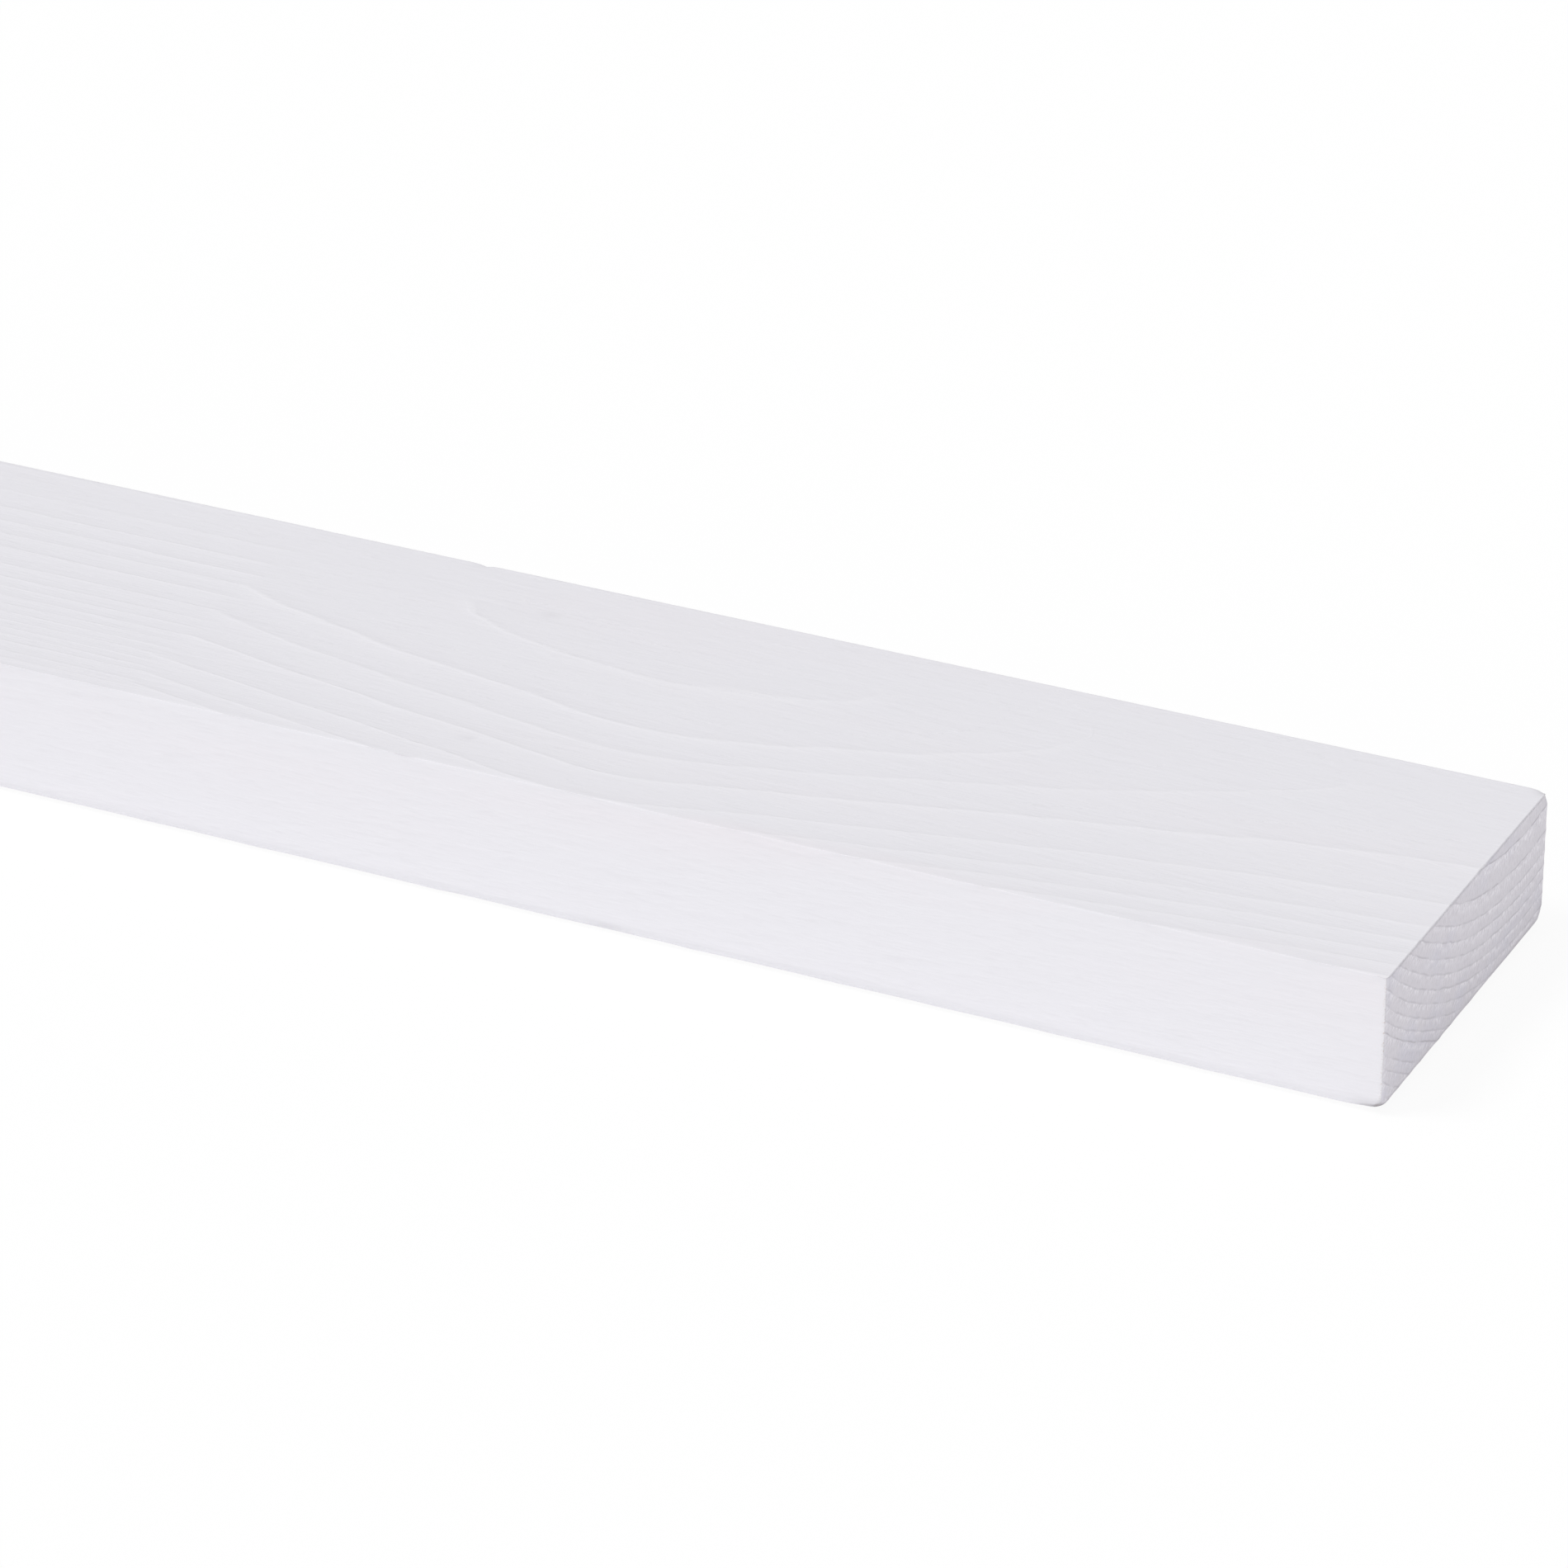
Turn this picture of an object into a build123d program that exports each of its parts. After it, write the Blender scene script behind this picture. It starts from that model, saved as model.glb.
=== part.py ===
from build123d import *

import os

# Sizes in millimetres. X runs along the stock, Y across its width, Z up from the floor.
LENGTH = 2400.0
WIDTH = 43.0
THICKNESS = 15.0

# The two upper long edges are barely broken, the two lower ones are planed rounder.
TOP_EDGE_RADIUS = 0.5
BOTTOM_EDGE_RADIUS = 1.4

# Both sawn ends are sanded: a touch on the upper rim and the uprights, more on the lower rim.
END_TOP_RADIUS = 0.3
END_UPRIGHT_RADIUS = 0.4
END_BOTTOM_RADIUS = 1.6


def slab(plane, across, up, low_radius, high_radius, depth):
    """Rectangle drawn on a plane with its own radii below and above, run to both sides."""
    with BuildSketch(plane) as outline:
        Rectangle(across, up)
        fillet(outline.vertices().group_by(Axis.Y)[0], low_radius)
        fillet(outline.vertices().group_by(Axis.Y)[-1], high_radius)
    return extrude(outline.sketch, amount=depth / 2, both=True)


def batten():
    """Where the planed section, the outline from the side and the outline from above meet."""
    section = slab(Plane.YZ, WIDTH, THICKNESS, BOTTOM_EDGE_RADIUS, TOP_EDGE_RADIUS, LENGTH)
    side = slab(Plane.XZ, LENGTH, THICKNESS, END_BOTTOM_RADIUS, END_TOP_RADIUS, WIDTH)
    plan = slab(Plane.XY, LENGTH, WIDTH, END_UPRIGHT_RADIUS, END_UPRIGHT_RADIUS, THICKNESS)
    return Pos(0, 0, THICKNESS / 2) * (section & side & plan)


os.makedirs("parts", exist_ok=True)
export_step(batten(), "parts/batten.step")
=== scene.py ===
from math import radians

import bmesh
import bpy
import numpy as np
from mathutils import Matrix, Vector, noise


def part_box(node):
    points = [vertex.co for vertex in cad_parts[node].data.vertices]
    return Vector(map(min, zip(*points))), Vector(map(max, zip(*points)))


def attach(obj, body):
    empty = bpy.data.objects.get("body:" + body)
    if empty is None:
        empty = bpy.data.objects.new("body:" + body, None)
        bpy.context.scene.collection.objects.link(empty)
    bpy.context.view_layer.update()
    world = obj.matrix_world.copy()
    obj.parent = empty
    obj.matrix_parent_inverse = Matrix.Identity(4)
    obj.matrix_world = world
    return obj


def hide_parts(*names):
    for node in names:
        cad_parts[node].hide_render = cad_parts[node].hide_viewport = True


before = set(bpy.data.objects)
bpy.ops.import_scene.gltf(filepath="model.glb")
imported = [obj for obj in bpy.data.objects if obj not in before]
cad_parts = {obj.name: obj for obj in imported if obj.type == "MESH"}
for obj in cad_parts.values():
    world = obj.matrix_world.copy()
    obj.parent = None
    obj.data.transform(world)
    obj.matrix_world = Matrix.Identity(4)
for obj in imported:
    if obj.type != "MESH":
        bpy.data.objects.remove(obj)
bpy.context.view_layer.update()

# One millimetre, in metres, and how close two places are when they count as one.
MM = 0.001
SAME = 0.001 * MM

# The batten as packed: its lowest and highest corner, its end that shows and its far end.
LOW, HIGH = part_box("batten")
NEAR_END = HIGH[0]
FAR_END = LOW[0]
WIDTH = HIGH[1] - LOW[1]
THICKNESS = HIGH[2] - LOW[2]

# The planed edges along the length, and the sanded rims round both ends.
NEAR_TOP_EDGE_RADIUS = 0.14 * MM
FAR_TOP_EDGE_RADIUS = 0.35 * MM
BOTTOM_EDGE_RADIUS = 1.4 * MM
END_TOP_RADIUS = 0.15 * MM
END_UPRIGHT_RADIUS = 0.4 * MM
END_BOTTOM_RADIUS = 1.6 * MM

# The two upper long edges: on which side each lies, the near one at -1, and its radius.
TOP_EDGES = [(-1, NEAR_TOP_EDGE_RADIUS), (1, FAR_TOP_EDGE_RADIUS)]
TOP_EDGE_FACETS = 3
BOTTOM_EDGE_FACETS = 5

# How finely the surface is divided, so that the grain's relief is in the mesh.
STRIPS_ACROSS = 82
STRIPS_UP = 34
FLAT_BESIDE_EDGE = 0.04 * MM
RIM_ROWS = [d * MM for d in (0.03, 0.08, 0.15, 0.25, 0.4, 0.6, 0.85, 1.15, 1.6, 2.2)]
CLOSE_GRAIN = 160 * MM
CLOSE_ROWS = 90
FAR_ROWS = 60
MIDDLE_ROWS = 84

# The growth rings whose lines show, from the heart outwards: radius in millimetres, and how
# boldly the line stands. Inside and outside them the rings are evenly wide.
RINGS_THAT_SHOW = [
    (40.1, 0.9), (42.3, 1.0), (44.3, 0.75), (46.7, 1.0), (49.6, 0.85), (51.8, 0.7), (53.4, 0.7),
    (55.0, 0.7), (56.5, 0.6), (57.9, 0.7), (59.3, 0.6), (60.7, 0.6), (62.0, 0.6), (63.0, 1.0),
    (65.0, 0.6),
]
INNERMOST_RING, INNER_RING_WIDTH, INNER_BOLDNESS = 17, 3.4, 0.45
FIRST_OUTER_RING, OUTER_RING_WIDTH, OUTER_BOLDNESS = 66.2, 1.3, 0.55
RINGS = [(INNERMOST_RING + INNER_RING_WIDTH * k, INNER_BOLDNESS) for k in range(7)]
RINGS += RINGS_THAT_SHOW
RINGS += [(FIRST_OUTER_RING + OUTER_RING_WIDTH * k, OUTER_BOLDNESS) for k in range(12)]

# The heart of the tree over the batten, in millimetres: distance from the end that shows,
# place across the width, and height over the top face.
HEART = [
    (0, 15.5, 45), (25, 14, 44), (45, 13, 42.4), (65, 12, 40.3), (85, 8, 40), (105, 11, 39.9),
    (135, 14.5, 41), (160, 16, 43),
]

# Further back the grain runs straighter. It changes over within a few millimetres.
CHANGE_PLACE = 138.4
CHANGE_LENGTH = 3.0
HEART_BEYOND = [
    (130, 40, 28), (160, 40, 28), (300, 38, 30), (520, 30, 38), (800, 36, 30), (1150, 26, 42),
    (1500, 38, 27), (1850, 24, 37), (2150, 31, 45), (2400, 22, 40),
]

# No ring is a true circle: how far it waves in and out, and over what lengths, in millimetres.
WAVE_DEPTH = 0.12
WAVE_LENGTHS = (22, 9, 9)

# How far a ring's painted line strays to either side on its way, in millimetres.
WOBBLE = 0.22

# Places on the ends are also told by their distance round the heart, measured at this radius.
ARC_RADIUS = 55

# How deep the soft wood sinks between the hard lines, on the planed faces and on the ends.
FACE_RELIEF = 0.08 * MM
END_RELIEF = 0.06 * MM

# How high the wood stands, from half a ring before a line (0) to half a ring after it (1).
STANDING = [(0, 0), (0.28, 0.12), (0.5, 1), (0.6, 0.62), (0.8, 0.2), (1, 0)]

# The ring lines hardly show on the narrow faces or beyond the heart, and are fainter in the
# straighter grain.
SIDE_SHARE = 0.2
BEYOND_HEART_SHARE = 0.1
STRAIGHTER_SHARE = 0.88

# Where a face lies nearly along a ring, its line would spread out. Below the first slant it
# is drawn narrower instead, down to the second.
FULL_SLANT = 0.3
LEAST_SLANT = 0.075

# Small knocks and flecks, and painted shade at the end's lower corners, in millimetres: back from the
# end, across, up, half length, half width, how deep it is, and how dark.
MARKS = [
    (118.8, 21.5, 15.0, 0.7, 0.6, 0.2, 0.2),
    (105.2, -21.5, 15.0, 1.0, 0.4, 0.1, 0.12),
    (101.4, -15.1, 15.0, 0.5, 0.45, 0.08, 0.15),
    (107.0, 13.5, 15.0, 1.0, 0.8, 0.03, 0.09),
    (82.8, -21.5, 0.4, 1.5, 0.5, 0.25, 0.25),
    (0.2, -21.4, 14.8, 0.8, 0.7, 0.12, 0.0),
    (0.0, 21.5, 15.0, 0.9, 0.9, 0.4, 0.3),
    # These two, at the lower corners of the end, are darkened as painted shade; the near one also
    # sinks a small chip, the far one sinks nothing.
    (1.2, -21.2, 0.2, 1.5, 0.8, 0.3, 0.5),
    (0.3, 21.3, 2.0, 0.8, 1.0, 0.0, 0.5),
]
DEEPEST = 0.4 * MM

# Between which leans the surface turns into an end, a broad face, or an end's lower rim. A lean
# is 1 where the surface faces straight that way.
END_LEAN = (0.5, 0.8)
BROAD_LEAN = (0.3, 0.7)
LOWER_LEAN = (-0.6, -0.2)
LOWER_RIM_LEAN = (0, 0.25)

# An end's upright rims: how they lean towards the end, most of all in the middle, and sideways.
UPRIGHT_RIM_LEAN = (0, 0.35, 0.7)
UPRIGHT_SIDE_LEAN = (0, 0.5)

# Between which slants of the way outwards a place is beyond the heart or on its near side.
BEYOND_HEART_SLANT = (-0.03, 0.06)

# How dark the painted shade is along the ends' lower rims, which face down to the floor, and along
# their far upright rims, which face away from the lamps, and how far the latter reaches from the
# far side: in full, and at all.
LOW_RIM_SHADE = 0.8
FAR_RIM_SHADE = 0.5
FAR_RIM_REACH = (0.1 * MM, 0.4 * MM)

# Paint and what shows through it.
PAINT = (0.787, 0.779, 0.818, 1)
PAINT_WARMER = (0.792, 0.776, 0.815, 1)
PAINT_THIN_BY_EDGE = (0.80, 0.762, 0.80, 1)
# The paint on the crests is a painted highlight, lighter where the standing wood catches the light.
PAINTED_HIGHLIGHT_ON_CREST = (0.86, 0.852, 0.885, 1)
PAINT_OVER_HARD_WOOD = (0.745, 0.733, 0.772, 1)
END_PAINT = (0.81, 0.782, 0.84, 1)
END_PAINT_COOLER = (0.785, 0.765, 0.845, 1)
END_PAINT_BRIGHT = (0.965, 0.94, 1.0, 1)
END_PAINT_OVER_HARD_WOOD = (0.64, 0.615, 0.67, 1)
BARE_WOOD = (0.50, 0.37, 0.32, 1)
# The last colour darkens the knocks and flecks, and is painted shade on the ends' lower and far
# upright rims.
DIRT_AND_SHADE = (0.27, 0.25, 0.27, 1)

# How much of its own colour each of these has at the most, on the planed faces, then on the
# ends and rims, and how much of a sawn line is left where it is broken.
WARMER_SHARE = 0.6
THIN_BY_EDGE_SHARE = 0.5
HARD_WOOD_SHARE = 0.17
CREST_HIGHLIGHT_SHARE = 0.28
FIBRE_SHARE = 0.45
DARK_TICK_SHARE = 0.3
SPECK_SHARE = 0.6
BROKEN_SHARE = 0.05

# Patterns in the paint: how fine they are along the length, across and up, how fine they are
# altogether, how many finer layers lie in them, and how strong those are.
WARM_PATCHES = ((0.2, 1, 1), 70, 2.0, 0.5)
THIN_PATCHES = ((0.3, 1, 1), 120, 2.0, 0.5)
LINE_WOBBLE = ((0.15, 1, 1), 450, 1.0, 0.5)
FIBRES = ((0.16, 1, 1), 1900, 2.5, 0.6)
LONG_FIBRES = ((0.12, 1, 1), 900, 2.0, 0.6)
MOTTLE = ((0.4, 1, 1), 180, 3.0, 0.6)
SPECKS = ((1, 1, 1), 3600, 2.0, 0.6)
COOL_PATCHES = ((1, 1, 1), 160, 1.0, 0.5)

# The same on the ends, where they lie round the heart and away from it.
CUT_FIBRES = ((4.2, 1.3, 1), 1.0, 2.0, 0.6)
BRIGHT_PATCHES = ((0.5, 0.9, 1), 1.0, 2.0, 0.5)
LINE_BREAKS = ((0.45, 0.25, 1), 1.0, 2.0, 0.6)

# Between which values of its pattern each of these grows.
WARMER_RANGE = (0.5, 0.7)
THIN_RANGE = (0.42, 0.58)
FIBRE_RANGE = (0.56, 0.78)
SPECK_RANGE = (0.54, 0.64)
MOTTLE_RANGE = (0.3, 0.7)
COOLER_RANGE = (0.5, 0.7)
DARK_TICK_RANGE = (0.5, 0.35)
BRIGHT_TICK_RANGE = (0.48, 0.58)
BRIGHT_PATCH_RANGE = (0.4, 0.54)
UNBROKEN_RANGE = (0.42, 0.56)

# Where the paint is thin beside the near upper edge: least and most from these distances from
# the end, this far onto the top, and not at all and most at these depths on the side.
THIN_BACK = (110 * MM, 70 * MM)
THIN_LEAST = 0.3
THIN_ON_TOP = 2.5 * MM
THIN_ON_SIDE = (7 * MM, 0.5 * MM)

# How bright the cut fibres are outside and inside the bright patches, and along the end, from
# one distance round the heart to another, in millimetres.
PATCH_BRIGHTNESS = (0.35, 1.15)
ARC_FROM_TO = (-35, -5)
ARC_BRIGHTNESS = (0.75, 1.15)

# How strongly each shows from 1 mm inside a ring's line (0) to 1 mm outside it (1).
RIDGE = [(0, 0), (0.34, 0.03), (0.46, 0.5), (0.5, 1), (0.56, 0.3), (0.7, 0.03), (1, 0)]
HARD_WOOD = [(0, 0), (0.3, 0.15), (0.42, 0.8), (0.47, 1), (0.5, 0.4), (0.53, 0), (1, 0)]
CREST_HIGHLIGHT = [(0, 0), (0.44, 0), (0.5, 1), (0.56, 0.75), (0.66, 0.4), (0.8, 0.12), (1, 0)]
SAWN_LINE = [(0, 0), (0.38, 0), (0.44, 0.8), (0.5, 1), (0.54, 0), (1, 0)]

# How bright the cut fibres are from one ring's line (0) to the next (1).
EARLY_WOOD = [(0, 0.1), (0.06, 1), (0.25, 0.8), (0.6, 0.25), (1, 0.1)]

# Relief too fine for the mesh, and how matt the paint is.
RIDGE_HEIGHT = 0.035 * MM
FIBRE_HEIGHT = 0.045 * MM
LONG_FIBRE_SHARE = 1.5
ROUGHNESS = (0.55, 0.68)
SHINE = 0.3

# The camera, with a long lens: how far it stands past the end that shows, in front of the
# batten's middle and over the floor, and how far it looks down and to the left, in degrees.
LENS = 157.54
CAMERA_PAST_END = 196.66 * MM
CAMERA_IN_FRONT = 552.09 * MM
CAMERA_UP = 324 * MM
LOOKING_DOWN = 27.136
LOOKING_LEFT = 26.077
FURTHEST_SEEN = 50

# The light: a lamp from above, a weaker low one in front, an even surround, and a pale floor.
# Each lamp: where it shines from, how strong it is, and how wide it is in degrees.
LAMPS = {
    "key": ((-0.5, -0.3, 1), 1.54, 20),
    "low_front": ((-0.3, -1, 0.2), 0.53, 15),
}
SURROUND_STRENGTH = 0.53
FLOOR_COLOUR = 0.65
FLOOR_GLOW = 0.34
FLOOR_SIZE = 60

# How much of the floor and of the surround is plain white to the camera. The rest of the
# floor shows the batten's shadow.
FLOOR_SEEN_WHITE = 0.88
SURROUND_SEEN_WHITE = 1


def camera():
    """Looks down onto the batten from in front of it and past its end."""
    data = bpy.data.cameras.new("camera")
    data.lens = LENS
    data.clip_end = FURTHEST_SEEN
    eye = bpy.data.objects.new("camera", data)
    eye.location = (NEAR_END + CAMERA_PAST_END, -CAMERA_IN_FRONT, CAMERA_UP)
    eye.rotation_euler = (radians(90 - LOOKING_DOWN), 0, radians(LOOKING_LEFT))
    bpy.context.collection.objects.link(eye)
    bpy.context.scene.camera = eye


def pick_edges(piece, test):
    """In edit mode, selects the edges whose two ends pass the test."""
    mesh = bmesh.from_edit_mesh(piece.data)
    bpy.ops.mesh.select_all(action="DESELECT")
    for edge in mesh.edges:
        if test([v.co for v in edge.verts]):
            edge.select_set(True)
    mesh.select_flush_mode()
    bmesh.update_edit_mesh(piece.data)


def along(ends):
    """Whether an edge runs along the length."""
    a, b = ends
    return abs(a.y - b.y) < SAME and abs(a.z - b.z) < SAME


def within(ends, start, stop):
    """Whether an edge lies between two places on the length."""
    return all(start - SAME < spot.x < stop + SAME for spot in ends)


def at_top_edge(spot, side):
    """Whether a place lies on the upper long edge of this side."""
    return spot.z > HIGH[2] - SAME and abs(spot.y - side * WIDTH / 2) < SAME


def cut_across(place, normal):
    """One straight cut right through the piece."""
    bpy.ops.mesh.select_all(action="SELECT")
    bpy.ops.mesh.bisect(plane_co=place, plane_no=normal)


def planed_block():
    """A block of the batten's size with its four long edges rounded."""
    bpy.ops.object.select_all(action="DESELECT")
    middle = [(a + b) / 2 for a, b in zip(LOW, HIGH)]
    size = [b - a for a, b in zip(LOW, HIGH)]
    bpy.ops.mesh.primitive_cube_add(size=1, location=middle, scale=size)
    bpy.ops.object.transform_apply(location=True, rotation=True, scale=True)
    piece = bpy.context.object
    piece.name = piece.data.name = "planed_batten"
    bpy.ops.object.mode_set(mode="EDIT")
    bpy.ops.mesh.select_mode(type="EDGE")
    pick_edges(piece, lambda ends: along(ends) and ends[0].z < THICKNESS / 2)
    bpy.ops.mesh.bevel(offset=BOTTOM_EDGE_RADIUS, segments=BOTTOM_EDGE_FACETS, affect="EDGES")
    for side, radius in TOP_EDGES:
        pick_edges(piece, lambda ends: along(ends) and at_top_edge(ends[0], side))
        bpy.ops.mesh.bevel(offset=radius, segments=TOP_EDGE_FACETS, affect="EDGES")
    return piece


def divide_faces():
    """Strips across and up, a narrow one beside each crisp edge, and close rows at both ends."""
    for k in range(1, STRIPS_ACROSS):
        y = LOW[1] + WIDTH * k / STRIPS_ACROSS
        cut_across((0, y, 0), (0, 1, 0))
    for k in range(1, STRIPS_UP):
        z = LOW[2] + THICKNESS * k / STRIPS_UP
        cut_across((0, 0, z), (0, 0, 1))
    for side, radius in TOP_EDGES:
        stop = radius + FLAT_BESIDE_EDGE
        cut_across((0, side * (WIDTH / 2 - stop), 0), (0, 1, 0))
        cut_across((0, 0, HIGH[2] - stop), (0, 0, 1))
    for depth in RIM_ROWS + [CLOSE_GRAIN]:
        cut_across((NEAR_END - depth, 0, 0), (1, 0, 0))
        cut_across((FAR_END + depth, 0, 0), (1, 0, 0))
    cut_across((NEAR_END - CLOSE_GRAIN / 2, 0, 0), (1, 0, 0))


def rounding(radius, depth):
    """How far a quarter-round of this radius stands back, this deep from the end."""
    left = max(radius - depth, 0)
    return radius - (radius**2 - left**2) ** 0.5


def draw_in_row(piece, row, inwards, low, high):
    """Draws one row in from both sides, from below and from above."""
    size = (1, 1 - 2 * inwards / WIDTH, 1 - (low + high) / THICKNESS)
    still = (row, 0, THICKNESS * low / (low + high))
    pick_edges(piece, lambda ends: all(abs(spot.x - row) < SAME for spot in ends))
    bpy.ops.transform.resize(value=size, center_override=still)


def sand_ends(piece):
    """Draws the rows near both ends in, most along the lower rim."""
    for depth in [0] + RIM_ROWS[:-1]:
        inwards = rounding(END_UPRIGHT_RADIUS, depth)
        low = rounding(END_BOTTOM_RADIUS, depth)
        high = rounding(END_TOP_RADIUS, depth)
        if low > SAME:
            draw_in_row(piece, NEAR_END - depth, inwards, low, high)
            draw_in_row(piece, FAR_END + depth, inwards, low, high)


def divide_length(piece):
    """Rows across the length, close together near the end that shows and wider apart between."""
    half_way = NEAR_END - CLOSE_GRAIN / 2
    zones = [
        (half_way, NEAR_END - RIM_ROWS[-1], CLOSE_ROWS),
        (NEAR_END - CLOSE_GRAIN, half_way, CLOSE_ROWS),
        (FAR_END + CLOSE_GRAIN, NEAR_END - CLOSE_GRAIN, MIDDLE_ROWS),
        (FAR_END + RIM_ROWS[-1], FAR_END + CLOSE_GRAIN, FAR_ROWS),
    ]
    for start, stop, rows in zones:
        pick_edges(piece, lambda ends: along(ends) and within(ends, start, stop))
        bpy.ops.mesh.subdivide(number_cuts=rows)
    bpy.ops.object.mode_set(mode="OBJECT")


def places(piece):
    """The piece's vertices as an array, in metres."""
    flat = np.empty(len(piece.data.vertices) * 3)
    piece.data.vertices.foreach_get("co", flat)
    return flat.reshape(-1, 3)


def smooth_line(points, at):
    """A smooth curve through (place, value) points, read at many places."""
    x = np.array([p[0] for p in points], float)
    y = np.array([p[1] for p in points], float)
    slope = np.gradient(y, x)
    k = np.clip(np.searchsorted(x, at) - 1, 0, len(x) - 2)
    span = x[k + 1] - x[k]
    t = np.clip((at - x[k]) / span, 0, 1)
    a = (1 + 2 * t) * (1 - t) ** 2 * y[k] + t * (1 - t) ** 2 * span * slope[k]
    b = t**2 * (3 - 2 * t) * y[k + 1] - t**2 * (1 - t) * span * slope[k + 1]
    return a + b


def from_heart(spots, heart):
    """How far each place lies beside the heart's line and under it, in millimetres."""
    mm = spots / MM
    back = NEAR_END / MM - mm[:, 0]
    aside = mm[:, 1] - smooth_line([(far, across) for far, across, up in heart], back)
    under = THICKNESS / MM + smooth_line([(far, up) for far, across, up in heart], back) - mm[:, 2]
    return aside, under


def growth(spots, heart):
    """The rings at each place: how many lie inside it, how bold the line is, and how wide the ring.

    It also gives how far the way outwards leans to the side, and the place on the ends' rays.
    """
    aside, under = from_heart(spots, heart)
    true_radius = np.hypot(aside, under)
    waves = np.array([noise.noise(Vector(p)) for p in spots / MM / WAVE_LENGTHS])
    radius = true_radius + WAVE_DEPTH * waves
    radii = np.array([r for r, bold in RINGS])
    count = np.interp(radius, radii, np.arange(len(RINGS)))
    bold = np.interp(radius, radii, [bold for r, bold in RINGS])
    width = np.interp(radius, radii, np.gradient(radii))
    ray = np.stack([ARC_RADIUS * np.arctan2(aside, under), radius, np.zeros_like(radius)], axis=1)
    return np.stack([count, bold, width], axis=1), aside / true_radius, ray


def standing(count):
    """How high the wood stands: fully on a ring's hard line, and not at all halfway between two."""
    where, height = zip(*STANDING)
    return np.interp((count + 0.5) % 1, where, height)


def write_onto(mesh, name, values):
    """Keeps one value, or a row of three, for each vertex, for the paint to read."""
    kind, field = ("FLOAT_VECTOR", "vector") if values.ndim == 2 else ("FLOAT", "value")
    layer = mesh.attributes.new(name, kind, "POINT")
    layer.data.foreach_set(field, values.ravel().astype(np.float32))


def marks(spots):
    """How deep each place is knocked in, and how dark it is there."""
    mm = spots / MM
    deep = np.zeros(len(mm))
    dark = np.zeros(len(mm))
    for back, across, up, half_length, half_width, depth, darkness in MARKS:
        off = (mm[:, 0] - (NEAR_END / MM - back)) ** 2 / half_length**2
        off += ((mm[:, 1] - across) ** 2 + (mm[:, 2] - up) ** 2) / half_width**2
        share = np.exp(-off)
        deep = np.maximum(deep, depth * MM * share)
        dark = np.maximum(dark, darkness * share)
    return deep, dark


def upright_rims(normals):
    """How near each place is to the turn from a narrow face to an end."""
    lean = np.abs(normals)
    turning = np.interp(lean[:, 0], UPRIGHT_RIM_LEAN, [0, 1, 0])
    return turning * np.interp(lean[:, 1], UPRIGHT_SIDE_LEAN, [0, 1])


def rim_shade(spots, normals, ends):
    """How much painted shade lies on the ends' lower rims, where they face down, and on their far
    upright rims.
    """
    low = np.interp(normals[:, 2], LOWER_LEAN, [1, 0])
    low *= np.interp(np.abs(normals[:, 0]), LOWER_RIM_LEAN, [0, 1])
    from_far_side = WIDTH / 2 - spots[:, 1]
    far = ends * np.interp(from_far_side, FAR_RIM_REACH, [1, 0])
    return np.maximum(LOW_RIM_SHADE * low, FAR_RIM_SHADE * far)


def write_rings(mesh, spots, normals, ends, beyond):
    """Writes both stretches of growth onto the piece, and tells how far the soft wood sinks."""
    sunk = np.zeros(len(spots))
    rays = np.zeros((len(spots), 3))
    broad = np.interp(np.abs(normals[:, 2]), BROAD_LEAN, [SIDE_SHARE, 1])
    stretches = [
        ("growth", HEART, 1 - beyond, 1),
        ("growth_beyond", HEART_BEYOND, beyond, STRAIGHTER_SHARE),
    ]
    for name, heart, share, boldness in stretches:
        rings, slant, ray = growth(spots, heart)
        showing = broad * np.interp(slant, BEYOND_HEART_SLANT, [1, BEYOND_HEART_SHARE])
        rings[:, 1] *= boldness * (showing + (1 - showing) * ends)
        narrower = FULL_SLANT / np.clip(np.abs(slant), LEAST_SLANT, FULL_SLANT)
        rings[:, 2] *= narrower + (1 - narrower) * ends
        write_onto(mesh, name, rings)
        sunk += share * (1 - standing(rings[:, 0]) * rings[:, 1])
        rays += share[:, None] * ray
    write_onto(mesh, "rays", rays)
    return sunk


def sink(piece, depth):
    """Draws the surface in, by a depth of its own at each place."""
    group = piece.vertex_groups.new(name="soft_wood")
    for k, weight in enumerate(depth / DEEPEST):
        group.add([k], float(weight), "REPLACE")
    relief = piece.modifiers.new("relief", "DISPLACE")
    relief.vertex_group = group.name
    relief.mid_level = 0
    relief.strength = -DEEPEST
    bpy.ops.object.modifier_apply(modifier=relief.name)
    piece.vertex_groups.clear()


def add_grain(piece):
    """Writes the growth and the marks onto the piece, and sinks the soft wood and the knocks."""
    mesh = piece.data
    spots = places(piece)
    normals = np.array([v.normal[:] for v in mesh.vertices])
    ends = np.interp(np.abs(normals[:, 0]), END_LEAN, [0, 1])
    back = (NEAR_END - spots[:, 0]) / MM
    beyond = np.clip((back - CHANGE_PLACE) / CHANGE_LENGTH + 0.5, 0, 1)
    deep, dark = marks(spots)
    write_onto(mesh, "end_grain", ends)
    write_onto(mesh, "rim", upright_rims(normals))
    # The marks' darkness, together with the painted shade on the ends' lower and far upright rims.
    write_onto(mesh, "mark_and_shade", np.maximum(dark, rim_shade(spots, normals, ends)))
    write_onto(mesh, "beyond", beyond)
    sunk = write_rings(mesh, spots, normals, ends, beyond)
    sink(piece, sunk * (FACE_RELIEF + (END_RELIEF - FACE_RELIEF) * ends) + deep)


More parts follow.
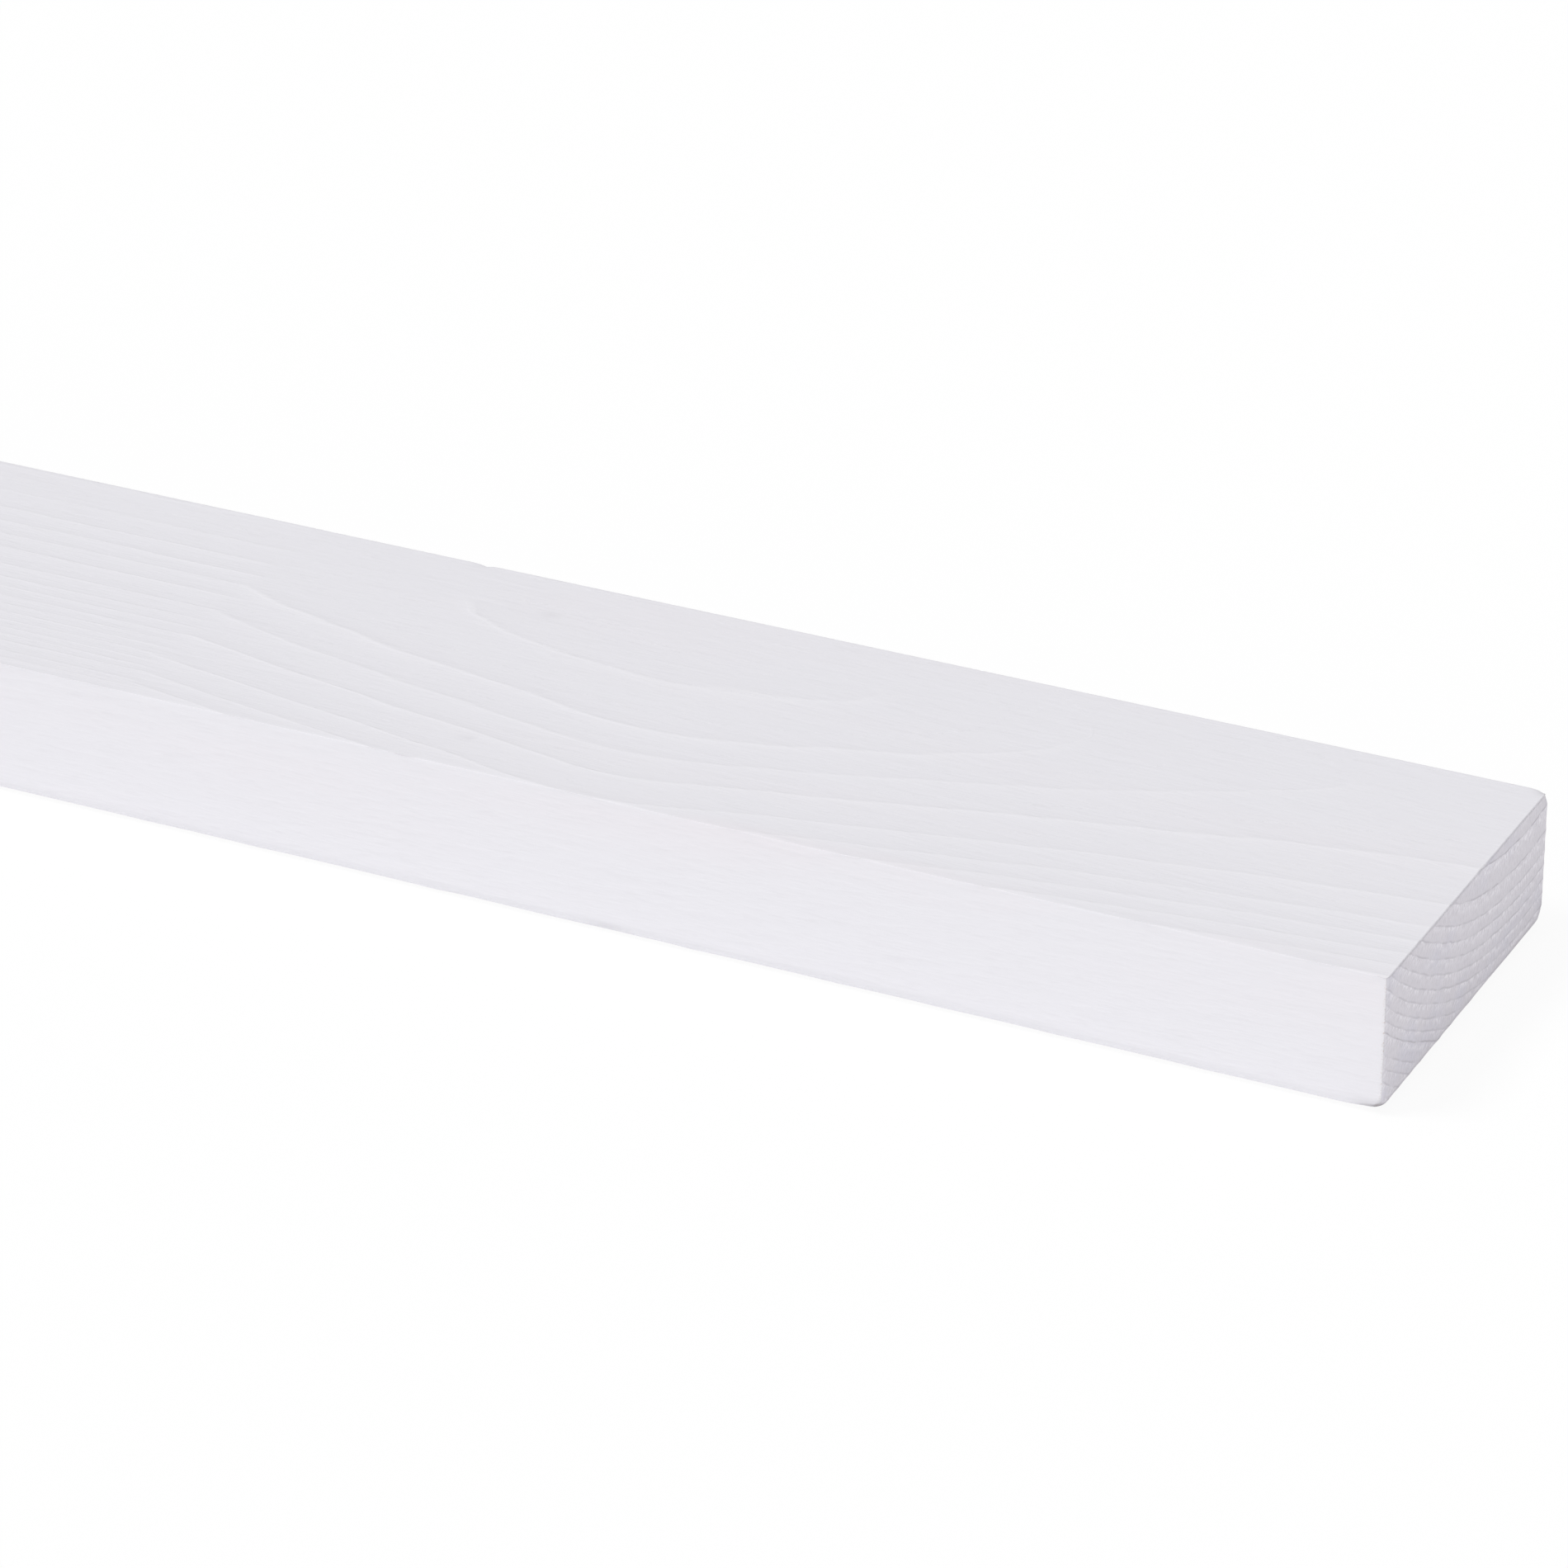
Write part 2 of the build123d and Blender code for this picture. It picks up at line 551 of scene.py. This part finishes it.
class Nodes:
    """Short words for laying out the nodes of a material or of the surround."""

    def __init__(self, owner):
        owner.use_nodes = True
        self.tree = owner.node_tree
        self.tree.nodes.clear()

    def add(self, kind, **settings):
        node = self.tree.nodes.new("ShaderNode" + kind)
        for key, value in settings.items():
            setattr(node, key, value)
        return node

    def join(self, source, target):
        self.tree.links.new(source, target)

    def feed(self, socket, value):
        """Sets a socket to a number or colour, or links it to another node's output."""
        if isinstance(value, bpy.types.NodeSocket):
            self.join(value, socket)
        else:
            socket.default_value = value

    def work_out(self, operation, a, b=0.0, c=0.0):
        node = self.add("Math", operation=operation)
        for socket, value in zip(node.inputs, (a, b, c)):
            self.feed(socket, value)
        return node.outputs[0]

    def times(self, a, b):
        return self.work_out("MULTIPLY", a, b)

    def between(self, share, a, b):
        """A number that goes from a to b as the share grows."""
        return self.work_out("MULTIPLY_ADD", share, self.work_out("SUBTRACT", b, a), a)

    def blend(self, share, a, b):
        """A colour that goes from a to b as the share grows."""
        node = self.add("Mix", data_type="RGBA")
        self.feed(node.inputs[0], share)
        self.feed(node.inputs[6], a)
        self.feed(node.inputs[7], b)
        return node.outputs[2]

    def written(self, name, kind="Fac"):
        """What is kept on the piece under this name."""
        return self.add("Attribute", attribute_name=name).outputs[kind]

    def parts(self, row):
        """The three numbers of a row, each on its own."""
        node = self.add("SeparateXYZ")
        self.join(row, node.inputs[0])
        return node.outputs

    def pattern(self, look, spot=None):
        """One of the patterns above, on the piece's own coordinates or on others given."""
        each_way, fineness, layers, strength = look
        mapping = self.add("Mapping")
        mapping.inputs["Scale"].default_value = each_way
        self.join(spot or self.add("TexCoord").outputs["Object"], mapping.inputs["Vector"])
        node = self.add("TexNoise")
        node.inputs["Scale"].default_value = fineness
        node.inputs["Detail"].default_value = layers
        node.inputs["Roughness"].default_value = strength
        self.join(mapping.outputs[0], node.inputs["Vector"])
        return node.outputs[0]

    def ramp(self, value, low, high, to_low=0.0, to_high=1.0):
        node = self.add("MapRange")
        self.feed(node.inputs["Value"], value)
        node.inputs["From Min"].default_value = low
        node.inputs["From Max"].default_value = high
        node.inputs["To Min"].default_value = to_low
        node.inputs["To Max"].default_value = to_high
        return node.outputs[0]

    def curve(self, value, points):
        node = self.add("FloatCurve")
        line = node.mapping.curves[0]
        line.points[0].location = points[0]
        line.points[1].location = points[-1]
        for x, y in points[1:-1]:
            line.points.new(x, y)
        node.mapping.update()
        self.join(value, node.inputs["Value"])
        return node.outputs[0]

    def bump(self, height, depth, under=None):
        node = self.add("Bump")
        node.inputs["Strength"].default_value = 1.0
        node.inputs["Distance"].default_value = depth
        self.join(height, node.inputs["Height"])
        if under is not None:
            self.join(under, node.inputs["Normal"])
        return node.outputs[0]


def ring_lines(n, name):
    """From the growth on the piece: the ridge, hard wood, crest for the painted highlight, sawn line
    and early wood.
    """
    count, bold, width = n.parts(n.written(name, "Vector"))
    off = n.work_out("SUBTRACT", n.work_out("FRACT", n.work_out("ADD", count, 0.5)), 0.5)
    wobble = n.ramp(n.pattern(LINE_WOBBLE), 0, 1, -WOBBLE, WOBBLE)
    near_line = n.ramp(n.work_out("MULTIPLY_ADD", off, width, wobble), -1.0, 1.0)
    shapes = (RIDGE, HARD_WOOD, CREST_HIGHLIGHT, SAWN_LINE)
    lines = [n.times(n.curve(near_line, shape), bold) for shape in shapes]
    return lines + [n.curve(n.work_out("FRACT", count), EARLY_WOOD)]


def beside_near_edge(n):
    """How close a place is to the near upper edge, in patches and mostly near the end."""
    x, y, z = n.parts(n.add("TexCoord").outputs["Object"])
    back = n.ramp(x, NEAR_END - THIN_BACK[0], NEAR_END - THIN_BACK[1], THIN_LEAST, 1)
    across = n.ramp(y, LOW[1], LOW[1] + THIN_ON_TOP, 1, 0)
    up = n.ramp(z, HIGH[2] - THIN_ON_SIDE[0], HIGH[2] - THIN_ON_SIDE[1], 0, 1)
    patches = n.ramp(n.pattern(THIN_PATCHES), *THIN_RANGE)
    return n.times(n.times(across, up), n.times(back, patches))


def face_paint(n, hard, crest_highlight, fibres):
    """Paint on the planed faces: a touch darker over hard wood, with a painted highlight where it
    stands up.
    """
    warmer = n.ramp(n.pattern(WARM_PATCHES), *WARMER_RANGE, 0, WARMER_SHARE)
    colour = n.blend(warmer, PAINT, PAINT_WARMER)
    thin = n.times(beside_near_edge(n), THIN_BY_EDGE_SHARE)
    colour = n.blend(thin, colour, PAINT_THIN_BY_EDGE)
    colour = n.blend(n.times(hard, HARD_WOOD_SHARE), colour, PAINT_OVER_HARD_WOOD)
    # Painted highlight on the crests of the standing wood.
    colour = n.blend(n.times(crest_highlight, CREST_HIGHLIGHT_SHARE), colour, PAINTED_HIGHLIGHT_ON_CREST)
    return n.blend(n.ramp(fibres, *FIBRE_RANGE, 0, FIBRE_SHARE), colour, PAINT_OVER_HARD_WOOD)


def end_paint(n, sawn, early, ticks, rays):
    """Paint soaked into the sawn end: broken dark ring lines, and bright cut fibres outside each."""
    arc = n.parts(rays)[0]
    cooler = n.ramp(n.pattern(COOL_PATCHES), *COOLER_RANGE)
    colour = n.blend(cooler, END_PAINT, END_PAINT_COOLER)
    dark = n.ramp(ticks, *DARK_TICK_RANGE, 0, DARK_TICK_SHARE)
    colour = n.blend(dark, colour, END_PAINT_OVER_HARD_WOOD)
    bright = n.ramp(n.pattern(BRIGHT_PATCHES, rays), *BRIGHT_PATCH_RANGE, *PATCH_BRIGHTNESS)
    bright = n.times(n.ramp(ticks, *BRIGHT_TICK_RANGE), bright)
    bright = n.times(bright, n.ramp(arc, *ARC_FROM_TO, *ARC_BRIGHTNESS))
    colour = n.blend(n.times(bright, early), colour, END_PAINT_BRIGHT)
    unbroken = n.ramp(n.pattern(LINE_BREAKS, rays), *UNBROKEN_RANGE, BROKEN_SHARE, 1)
    return n.blend(n.times(sawn, unbroken), colour, END_PAINT_OVER_HARD_WOOD)


def worn_and_shaded(n, colour):
    """Adds the specks of bare wood on the upright rims, the dark knocks and flecks, and the painted
    shade on the ends' lower and far upright rims.
    """
    specks = n.ramp(n.pattern(SPECKS), *SPECK_RANGE, 0, SPECK_SHARE)
    colour = n.blend(n.times(n.written("rim"), specks), colour, BARE_WOOD)
    # Darkens the knocks and flecks, and paints shade on the ends' lower and far upright rims.
    return n.blend(n.written("mark_and_shade"), colour, DIRT_AND_SHADE)


def white_paint():
    """Thin matt white paint that the planed softwood's rings and fibres show through."""
    paint = bpy.data.materials.new("white_paint")
    n = Nodes(paint)
    ends = n.written("end_grain")
    beyond = n.written("beyond")
    rays = n.written("rays", "Vector")
    both = zip(ring_lines(n, "growth"), ring_lines(n, "growth_beyond"))
    ridge, hard, crest_highlight, sawn, early = [n.between(beyond, here, further) for here, further in both]
    fibres = n.pattern(FIBRES)
    ticks = n.pattern(CUT_FIBRES, rays)
    on_end = end_paint(n, sawn, early, ticks, rays)
    colour = worn_and_shaded(n, n.blend(ends, face_paint(n, hard, crest_highlight, fibres), on_end))
    fuzz = n.work_out("ADD", fibres, n.times(n.pattern(LONG_FIBRES), LONG_FIBRE_SHARE))
    grain = n.bump(n.between(ends, fuzz, ticks), FIBRE_HEIGHT, n.bump(ridge, RIDGE_HEIGHT))
    shader = n.add("BsdfPrincipled")
    n.join(colour, shader.inputs["Base Color"])
    n.join(n.ramp(n.pattern(MOTTLE), *MOTTLE_RANGE, *ROUGHNESS), shader.inputs["Roughness"])
    shader.inputs["Specular IOR Level"].default_value = SHINE
    n.join(grain, shader.inputs["Normal"])
    n.join(shader.outputs[0], n.add("OutputMaterial").inputs["Surface"])
    return paint


def batten():
    """The whole batten, painted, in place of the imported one."""
    piece = planed_block()
    divide_faces()
    sand_ends(piece)
    divide_length(piece)
    add_grain(piece)
    bpy.ops.object.shade_smooth()
    piece.data.materials.append(white_paint())
    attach(piece, "root")
    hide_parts("batten")


def glow(n, strength):
    """Plain white light of this strength."""
    node = n.add("Emission")
    node.inputs["Strength"].default_value = strength
    return node.outputs[0]


def seen_white(n, lit, share):
    """Mixes plain white into what the camera, a gloss or a clear thing sees.

    The light that the surface gives to other things stays as it is.
    """
    rays = n.add("LightPath")
    seen = n.work_out("MAXIMUM", rays.outputs["Is Camera Ray"], rays.outputs["Is Glossy Ray"])
    seen = n.work_out("MAXIMUM", seen, rays.outputs["Is Transmission Ray"])
    mix = n.add("MixShader")
    n.join(n.times(seen, share), mix.inputs[0])
    n.join(lit, mix.inputs[1])
    n.join(glow(n, 1), mix.inputs[2])
    return mix.outputs[0]


def floor():
    """A pale floor, lit a little from within, wide enough to lie behind the batten from every side."""
    bpy.ops.object.select_all(action="DESELECT")
    bpy.ops.mesh.primitive_plane_add(size=FLOOR_SIZE, location=(0, 0, 0))
    plane = bpy.context.object
    plane.name = "floor"
    pale = bpy.data.materials.new("pale_floor")
    n = Nodes(pale)
    matt = n.add("BsdfDiffuse")
    matt.inputs["Color"].default_value = (FLOOR_COLOUR, FLOOR_COLOUR, FLOOR_COLOUR, 1)
    lit = n.add("AddShader")
    n.join(matt.outputs[0], lit.inputs[0])
    n.join(glow(n, FLOOR_GLOW), lit.inputs[1])
    shown = seen_white(n, lit.outputs[0], FLOOR_SEEN_WHITE)
    n.join(shown, n.add("OutputMaterial").inputs["Surface"])
    plane.data.materials.append(pale)


def lamps():
    """Two broad lamps and an even pale surround."""
    for name, (shines_from, strength, width) in LAMPS.items():
        sun = bpy.data.lights.new(name, "SUN")
        sun.energy = strength
        sun.angle = radians(width)
        lamp = bpy.data.objects.new(name, sun)
        lamp.rotation_euler = Vector(shines_from).to_track_quat("Z", "Y").to_euler()
        bpy.context.collection.objects.link(lamp)
    surround = bpy.data.worlds.new("surround")
    bpy.context.scene.world = surround
    n = Nodes(surround)
    shown = seen_white(n, glow(n, SURROUND_STRENGTH), SURROUND_SEEN_WHITE)
    n.join(shown, n.add("OutputWorld").inputs["Surface"])


bpy.context.scene.view_settings.view_transform = "Standard"
camera()
batten()
floor()
lamps()

bpy.context.view_layer.update()
